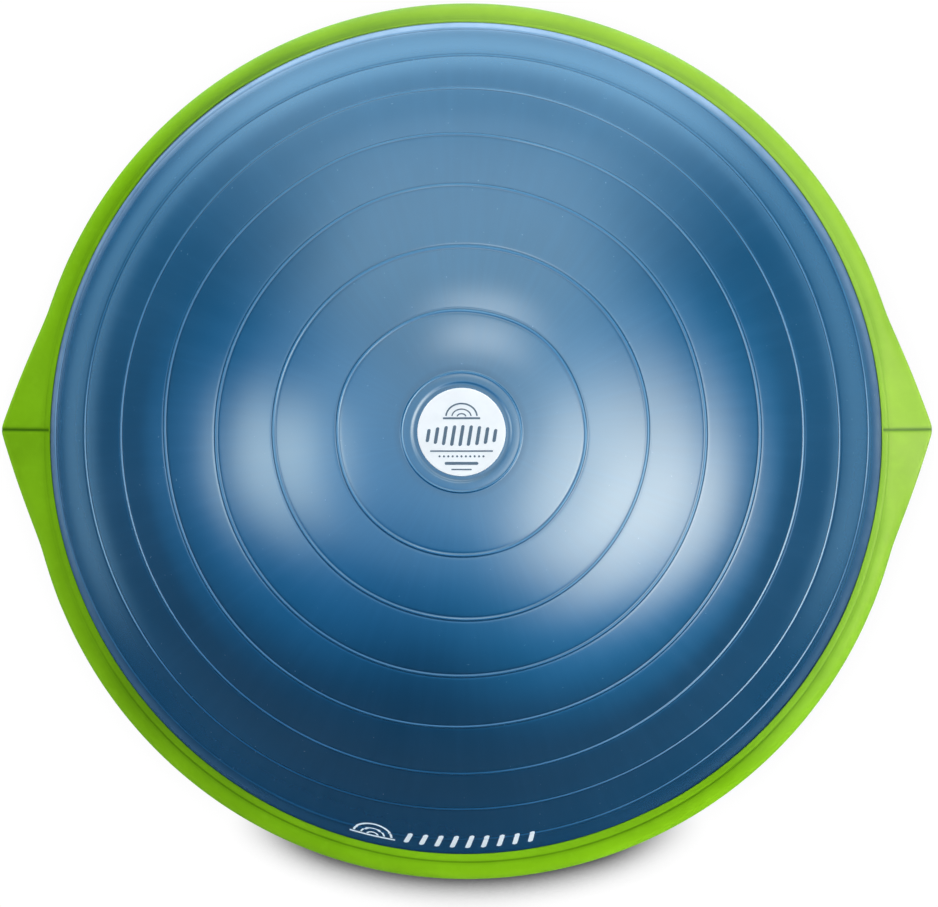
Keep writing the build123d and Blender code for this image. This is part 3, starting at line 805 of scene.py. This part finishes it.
def build_rim():
    slope = (TIP_R - CORNER_X) / EAR_HALF
    phi = rim_azimuths(math.atan2(POCKET_HALF, POCKET_POINT - slope * POCKET_HALF))
    x, y = ear_edge(phi, POCKET_POINT, slope)
    pocket = np.where(y < POCKET_HALF, np.hypot(x, y), 0.0)
    outline = ear_outline(phi)
    ear = smooth(outline, RIM_R + 0.4, RIM_R + 14.0)
    ridge = bell(from_ear(phi), 0, 0.0040)
    edge_z = 26.5 * (1 - ear) + 29.2 * ear

    rings = Rings(len(phi), "crease", "edge")
    add_lip(rings, phi, ridge)
    add_crown(rings, outline, edge_z, ear, ridge)
    notch = ridge * 0.75
    rings.add(outline - 0.1 - notch, edge_z - 3.5, crease=ridge, edge=0.1)
    for inset, notch_share, z, ridge_crease, crease in WALL_RINGS:
        r = outline - inset - notch * notch_share
        rings.add(r, z, crease=ridge * ridge_crease + crease)
    add_underside(rings, outline, pocket)

    r, z = np.array(rings.r), np.array(rings.z)
    verts = np.stack([r * np.cos(phi), r * np.sin(phi), z], -1).reshape(-1, 3) * MM
    obj = make_object("rim_cover", verts, ring_faces(len(r), len(phi), closed_profile=True), RIM)
    fix_normals(obj)
    for key, grid in rings.masks.items():
        set_mask(obj, key, np.array(grid).reshape(-1))
    set_sharp(obj, 50)
    return obj


rim = build_rim()
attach(rim, "base")
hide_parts("rim_band")


# ------------------------------------------------------------------ printed marks
class Print:
    """Collects flat shapes in a plane and lays them on a surface as thin raised ink."""

    def __init__(self):
        self.points, self.faces = [], []

    def band(self, points, width):
        """A band of the given width along a polyline."""
        p = np.asarray(points, float)
        base, last = len(self.points), len(p) - 1
        for i in range(len(p)):
            along = p[min(i + 1, last)] - p[max(i - 1, 0)]
            along /= max(1e-9, np.hypot(*along))
            side = np.array([-along[1], along[0]]) * width / 2
            self.points += [p[i] + side, p[i] - side]
        for i in range(last):
            a, b = base + 2 * i, base + 2 * (i + 1)
            self.faces.append((a, a + 1, b + 1, b))

    def shape(self, points):
        """A filled outline, as a fan round its centre."""
        base, n = len(self.points), len(points)
        self.points.append(np.mean(np.asarray(points, float), 0))
        self.points += [np.asarray(q, float) for q in points]
        for i in range(n):
            self.faces.append((base, base + 1 + i, base + 1 + (i + 1) % n))

    def bar(self, x, y, width, height, lean=0.0):
        """An upright or level bar with round ends."""
        r = min(width, height) / 2 * 0.98
        outline = []
        for side_x, side_y, start in ((1, 1, 0), (-1, 1, 90), (-1, -1, 180), (1, -1, 270)):
            for k in range(7):
                angle = math.radians(start + 15 * k)
                off_x = side_x * (width / 2 - r) + r * math.cos(angle)
                off_y = side_y * (height / 2 - r) + r * math.sin(angle)
                outline.append((x + off_x + lean * off_y, y + off_y))
        self.shape(outline)

    def sliced_bar(self, x, y, width, height, lean, r, slices=16):
        """A bar cut into slices, so that it can follow a curved surface."""
        base = len(self.points)
        for k in range(slices + 1):
            q = -height / 2 + height * k / slices
            over = max(0.0, abs(q) - (height / 2 - r))
            half = width / 2 - r + math.sqrt(max(0.0, r * r - over * over))
            self.points += [np.array([x + lean * q + e * half, y + q]) for e in (-1, 0, 1)]
        for k in range(slices):
            p, q = base + 3 * k, base + 3 * (k + 1)
            self.faces.append((p, p + 1, q + 1, q))
            self.faces.append((p + 1, p + 2, q + 2, q + 1))

    def dot(self, x, y, r):
        angles = np.linspace(0, 2 * math.pi, 24, endpoint=False)
        self.shape([(x + r * math.cos(a), y + r * math.sin(a)) for a in angles])

    def dome_emblem(self, x, y, size, weight, tall=0.86):
        """A plain half dome on a base line, with two smaller arcs inside it."""
        # share of the width, share of the height, share of the weight, degrees cut off each end
        for wide, high, heavy, trim in ((1, 1, 1, 4), (0.62, 0.58, 0.8, 6), (0.28, 0.24, 0.8, 8)):
            angles = [math.radians(a) for a in np.linspace(trim, 180 - trim, 48)]
            across, up = size * wide, size * tall * high
            arc = [(x + across * math.cos(a), y + up * math.sin(a)) for a in angles]
            self.band(arc, weight * heavy)
        base_line = np.linspace(-size * 1.2, size * 1.2, 32)
        self.band([(x + v, y - weight * 0.9) for v in base_line], weight * 1.25)

    def build(self, name, place, thick, material):
        """place(x, y, lift) gives the point on the surface, in mm."""
        bm = bmesh.new()
        low, high = [
            [bm.verts.new(Vector(place(x, y, lift)) * MM) for x, y in self.points]
            for lift in (-0.02, thick)
        ]
        for face in self.faces:
            bm.faces.new([high[i] for i in face])
            bm.faces.new([low[i] for i in reversed(face)])
        edges = dict.fromkeys(
            pair for face in self.faces for pair in zip(face, face[1:] + face[:1])
        )
        for a, b in edges:
            if (b, a) not in edges:
                bm.faces.new([high[b], high[a], low[a], low[b]])
        bmesh.ops.recalc_face_normals(bm, faces=bm.faces)
        mesh = bpy.data.meshes.new(name)
        bm.to_mesh(mesh)
        bm.free()
        return link_mesh(name, mesh, material)


def build_label_print():
    label = Print()
    label.dome_emblem(0, 10.4, size=10.6, weight=1.05)
    heights = (9.0, 11.4, 13.0, 14.0, 14.4, 14.0, 13.0, 11.4, 9.0)
    for x, height in zip(np.linspace(-22.8, 22.8, 9), heights):
        label.bar(float(x), -2.4, width=2.3, height=height, lean=0.16)
    label.bar(0, -13.0, width=43.0, height=1.0)
    for x in np.linspace(-15.0, 15.0, 11):
        label.dot(float(x), -16.6, r=0.72)
    label.bar(0, -21.4, width=23.0, height=2.0)
    label.bar(0, -25.6, width=14.0, height=0.9)

    def on_label(x, y, lift):
        return x, y, LABEL_TOP + 0.01 + lift

    return label.build("label_print", on_label, thick=0.06, material=INK)


label_print = build_label_print()
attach(label_print, "dome")

# centre of the front mark: arc length from the pole, and degrees of azimuth from -Y
MARK_S, MARK_AZIMUTH = 362.6, -2.0


def build_front_mark():
    mark = Print()
    mark.dome_emblem(-57.2, -5.5, size=14.0, weight=1.7, tall=1.25)
    for i, x in enumerate(np.linspace(-31.0, 59.0, 9)):
        height = 21.0 - 1.2 * abs(i - 4)
        mark.sliced_bar(float(x), 0.0, width=3.6, height=height, lean=0.20, r=1.5)
    skin = dome.data
    tree = BVHTree.FromPolygons(
        [v.co for v in skin.vertices], [tuple(f.vertices) for f in skin.polygons]
    )
    centre = Vector((*EDGE_OFF, SPHERE_Z)) * MM

    def on_dome(x, y, lift):
        """The mark's plane laid on the dome near its foot, in front: x runs round it, y up it."""
        phi = -math.pi / 2 + math.radians(MARK_AZIMUTH)
        phi += x / (SPHERE_R * math.sin(MARK_S / SPHERE_R))
        t = (MARK_S - y) / SPHERE_R
        out = Vector((math.sin(t) * math.cos(phi), math.sin(t) * math.sin(phi), math.cos(t)))
        hit = tree.ray_cast(centre + out * 0.40, -out)[0]
        return tuple((hit + out * (lift * MM)) / MM)

    return mark.build("front_mark", on_dome, thick=0.16, material=PALE_INK)


front_mark = build_front_mark()
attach(front_mark, "base")

for piece in (dome, front_mark):
    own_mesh(piece)

for obj in nodes.values():
    if not obj.hide_render:
        obj.data.polygons.foreach_set("use_smooth", [True] * len(obj.data.polygons))


# ------------------------------------------------------------------ lights
# name, azimuth from +X towards +Y and angle from straight up in degrees, distance, width, height, W
LIGHTS = [
    ("key", -8, 62, 2.4, 1.2, 1.2, 46),
    ("left_box", 180, 68, 2.4, 1.2, 1.2, 25),
    ("back_panel", 90, 72, 2.6, 2.4, 1.6, 111),
    # two soft lights below the clear floor show the underside when it is looked at from there
    ("under_left", 150, 138, 2.2, 0.9, 0.9, 16),
    ("under_right", -40, 150, 2.4, 0.7, 0.7, 12),
]
RIM_FILL = ("rim_fill", -90, 38, 2.4, 1.4, 0.8, 38)  # above the front, lights only the rim
LIGHT_TARGET = Vector((0, 0, 0.1))


def facing(azimuth, off_zenith):
    """Unit vectors towards a place in the sky: level side, up and outwards. Angles in degrees."""
    a, e = math.radians(azimuth), math.radians(off_zenith)
    out = Vector((math.cos(a) * math.sin(e), math.sin(a) * math.sin(e), math.cos(e)))
    side = Vector((-math.sin(a), math.cos(a), 0))
    return side, out.cross(side), out


def softbox(name, azimuth, off_zenith, distance, width, height, watts):
    """An area light aimed at the dome, its width level."""
    side, up, out = facing(azimuth, off_zenith)
    data = bpy.data.lights.new(name, "AREA")
    data.shape = "RECTANGLE"
    data.size, data.size_y = width, height
    data.energy = watts
    data.color = (1, 1, 1)
    obj = bpy.data.objects.new(name, data)
    obj.location = LIGHT_TARGET + out * distance
    obj.rotation_mode = "QUATERNION"
    obj.rotation_quaternion = Matrix((side, up, out)).transposed().to_quaternion()
    obj.visible_camera = False
    obj.visible_glossy = False
    scene.collection.objects.link(obj)
    return obj


for row in LIGHTS:
    softbox(*row)

# the dull band, and what lies inside it, isn't mirrored in the dome's foot
for piece in [rim] + [nodes[name] for name in ("clamp_ring", "clamp_screws", "deck_plate")]:
    piece.visible_glossy = False
rim_only = bpy.data.collections.new("rim_only")
rim_only.objects.link(rim)
softbox(*RIM_FILL).light_linking.receiver_collection = rim_only


# ------------------------------------------------------------------ the sky the surfaces mirror
# soft boxes: azimuth, angle from straight up, turn, half width, half height, edge power, colour
SKY_BOXES = [
    (-15.5, 43.3, 35, 0.47, 0.55, 2.4, (5.3, 4.3, 2.3)),  # key, upper
    (-25.6, 54.6, -45.8, 0.41, 0.31, 3.0, (2.1, 2.1, 1.9)),  # key, lower
    (-24.3, 46.3, -12, 1.01, 0.78, 2.0, (0.17, 1.9, 4.1)),  # spill round the key
    (186.4, 49.4, -19.6, 0.26, 0.29, 2.4, (4.2, 4.6, 3.9)),  # left box
    (198.2, 45.5, -55.1, 0.73, 0.92, 2.4, (0.09, 0.98, 2.3)),  # spill round the left box
    (81, 27.0, 10, 0.19, 0.15, 2.6, (3.2, 3.5, 3.6)),  # top box
]
# a long curved sheet from the front, over the top and down to the back: middle x, half width,
# softness of its sides
SHEET_X, SHEET_HALF, SHEET_SOFT = 0.008, 0.62, 0.28
SHEET_TINT = (0.544, 0.824, 1.0)
SHEET_LEVELS = [  # degrees from straight up towards the back, brightness
    (-60, 0.0), (-48, 0.02), (-38, 0.18), (-28, 0.84), (-15, 1.6), (5, 2.2),
    (25, 2.2), (45, 2.8), (60, 2.5), (80, 1.9), (105, 1.35), (130, 1.8),
]
SKY_REST = (0.02, 0.125, 0.34)  # colour of the sky elsewhere
WHITE_LEVEL = 1.02  # the studio as the camera sees it


def add_scaled(g, total, level, colour):
    """Adds a colour, scaled by a level, to the total."""
    node = g.new("VectorMath", operation="SCALE")
    g.feed(node.inputs[0], colour)
    g.fill_named(node, Scale=level)
    return g.vector_math("ADD", total, node.outputs[0])


def sky_box(g, direction, azimuth, off_zenith, turn, half_wide, half_high, power):
    """Brightness of one soft box in the given direction."""
    side, up, out = facing(azimuth, off_zenith)
    turn = math.radians(turn)
    box_side = side * math.cos(turn) + up * math.sin(turn)
    box_up = up * math.cos(turn) - side * math.sin(turn)
    behind_limit = 0.05
    ahead = g.vector_math("DOT_PRODUCT", direction, tuple(out), "Value")
    depth = g.math("MAXIMUM", ahead, behind_limit)
    terms = []
    for axis, half in ((box_side, half_wide), (box_up, half_high)):
        offset = g.vector_math("DOT_PRODUCT", direction, tuple(axis), "Value")
        ratio = g.math("DIVIDE", offset, g.math("MULTIPLY", depth, half))
        terms.append(g.math("POWER", g.math("ABSOLUTE", ratio), power))
    exponent = g.math("MULTIPLY", g.math("MINIMUM", g.math("ADD", *terms), 30.0), -1.0)
    fall = g.math("POWER", 2.718282, exponent)
    return g.math("MULTIPLY", fall, g.math("GREATER_THAN", ahead, behind_limit))


def sky_sheet(g, x, y, z):
    """Brightness of the sheet: constant across its width, changing along it."""
    off_middle = g.math("ABSOLUTE", g.math("SUBTRACT", x, SHEET_X))
    across = g.inverse(g.step(off_middle, SHEET_HALF - SHEET_SOFT, SHEET_HALF + SHEET_SOFT))
    angle = g.math("ARCTAN2", y, z)
    ramp = g.new("ValToRGB")
    brightest = max(level for _, level in SHEET_LEVELS)
    start, end = SHEET_LEVELS[0][0], SHEET_LEVELS[-1][0]
    stops = ramp.color_ramp.elements
    stops[0].position, stops[1].position = 0.0, 1.0
    stops[0].color = (*[SHEET_LEVELS[0][1] / brightest] * 3, 1)
    stops[1].color = (*[SHEET_LEVELS[-1][1] / brightest] * 3, 1)
    for degrees, level in SHEET_LEVELS[1:-1]:
        stop = stops.new((degrees - start) / (end - start))
        stop.color = (*[level / brightest] * 3, 1)
    from_start = g.math("SUBTRACT", angle, math.radians(start))
    g.feed(ramp.inputs[0], g.math("DIVIDE", from_start, math.radians(end - start), clamp=True))
    grey = g.fill(g.new("SeparateColor"), ramp.outputs[0])
    return g.math("MULTIPLY", g.math("MULTIPLY", across, grey.outputs[0]), brightest)


def sky():
    """Plain white to the camera; boxes and a sheet of light to mirroring surfaces."""
    world = bpy.data.worlds.new("studio")
    scene.world = world
    g = Graph(world)
    direction = g.new("TexCoord").outputs["Generated"]
    x, y, z = g.split(direction)
    total = g.fill(g.new("CombineXYZ"), *SKY_REST).outputs[0]
    for *shape, colour in SKY_BOXES:
        total = add_scaled(g, total, sky_box(g, direction, *shape), colour)
    total = add_scaled(g, total, sky_sheet(g, x, y, z), SHEET_TINT)
    output = g.new("OutputWorld")
    path = g.new("LightPath")
    mirrored = g.fill(g.new("Background"), total, 1.0).outputs[0]
    seen = g.fill(g.new("Background"), (1, 1, 1), WHITE_LEVEL).outputs[0]
    g.feed(output.inputs[0], g.mix_shader(path.outputs["Is Camera Ray"], mirrored, seen))
    world.cycles_visibility.diffuse = False


# ------------------------------------------------------------------ floor
FLOOR_COLS = 96
FLOOR_RADII = (0.5, 1.0, 2.0, 4.0, 8.0, 30.0)
# contact shadow: openness where it is full and where it ends, and its darkest tone
FLOOR_SHADE = {"start": 0.52, "end": 0.87, "low": 0.05}
# light from the floor on the object: radii where it starts and is full, and its brightness
FLOOR_LIT = {"start": 0.325, "end": 0.50, "high": 2.7}
FLOOR_SHEET = 1.2  # how bright the sheet behind is, seen mirrored
FLOOR_CLOSE = (0.36, 0.69, 0.94)  # the floor beside and behind the object, seen mirrored


def floor_material():
    material = bpy.data.materials.new("floor")
    g = Graph(material)
    output = g.new("OutputMaterial")
    path = g.new("LightPath").outputs
    geometry = g.new("NewGeometry")
    position = g.coords()
    r = g.vector_math("LENGTH", position, output="Value")
    x, y, _ = g.split(position)
    # what the camera sees: a white floor with a soft contact shadow, deepest in front
    openness = g.new("AmbientOcclusion", samples=32)
    g.fill_named(openness, Distance=0.06)
    ahead = g.math("DIVIDE", g.math("MULTIPLY", y, -1.0), r)
    deep = g.inverse(g.step(openness.outputs["AO"], **FLOOR_SHADE))
    shade = g.math("MULTIPLY", deep, g.step(ahead, start=0.84, end=0.955, low=0.05))
    seen = g.glow((1, 1, 1), g.math("MULTIPLY", g.inverse(shade), WHITE_LEVEL))
    # what lights the object from below: the lit floor around it, dark close to it
    lit = g.glow((1, 1, 1), g.step(r, **FLOOR_LIT))
    # what the object mirrors: the bright sheet behind it, the floor close to it, dim elsewhere
    sideways = g.math("DIVIDE", g.math("ABSOLUTE", x, 0.0), r)
    narrow = g.inverse(g.step(sideways, start=0.42, end=0.86))
    behind = g.math("MULTIPLY", narrow, g.math("GREATER_THAN", y, 0.0))
    inner = g.step(r, start=0.365, end=0.41)
    ring = g.math("MULTIPLY", inner, g.inverse(g.step(r, start=0.44, end=0.58)))
    close = g.math("MULTIPLY", ring, g.inverse(g.step(ahead, start=0.20, end=0.62)))
    rest = g.glow(tuple(0.82 * c for c in SKY_REST))
    sheet = g.glow(SHEET_TINT, g.math("MULTIPLY", behind, FLOOR_SHEET))
    mirrored = g.add_shader(g.add_shader(rest, sheet), g.glow(FLOOR_CLOSE, close))
    unseen = g.mix_shader(path["Is Glossy Ray"], lit, mirrored)
    top = g.mix_shader(path["Is Camera Ray"], unseen, seen)
    clear = g.new("BsdfTransparent").outputs[0]
    either = g.math("MAXIMUM", geometry.outputs["Backfacing"], path["Is Shadow Ray"])
    g.feed(output.inputs[0], g.mix_shader(either, top, clear))
    material.cycles.emission_sampling = "NONE"
    return material


def floor():
    """A white disc that fades into the studio. From below it is clear and shows the underside."""
    n = FLOOR_COLS
    angles = [2 * math.pi * i / n for i in range(n)]
    verts, faces = [(0, 0, 0)], []
    for r in FLOOR_RADII:
        verts += [(r * math.cos(a), r * math.sin(a), 0) for a in angles]
    for i in range(n):
        j = (i + 1) % n
        faces.append((0, 1 + i, 1 + j))
        for k in range(len(FLOOR_RADII) - 1):
            p, q = 1 + k * n, 1 + (k + 1) * n
            faces.append((p + i, q + i, q + j, p + j))
    obj = make_object("floor", verts, faces, floor_material(), smooth_shade=False)
    obj.location = (0, 0, -0.0004)


sky()
floor()

# ------------------------------------------------------------------ camera and view
scene.view_settings.view_transform = "Standard"
scene.view_settings.look = "None"
scene.view_settings.exposure = 0.0
scene.view_settings.gamma = 1.0

# almost straight above the dome, looking down
cam_data = bpy.data.cameras.new("camera")
cam_data.sensor_width = 36.0
cam_data.lens = 136.6
cam_data.clip_start, cam_data.clip_end = 0.05, 100.0
cam = bpy.data.objects.new("camera", cam_data)
cam.location = (0.0395, -0.069, 2.67)
cam.rotation_euler = (math.radians(1.28), math.radians(0.81), 0.0)
scene.collection.objects.link(cam)
scene.camera = cam

bpy.context.view_layer.update()
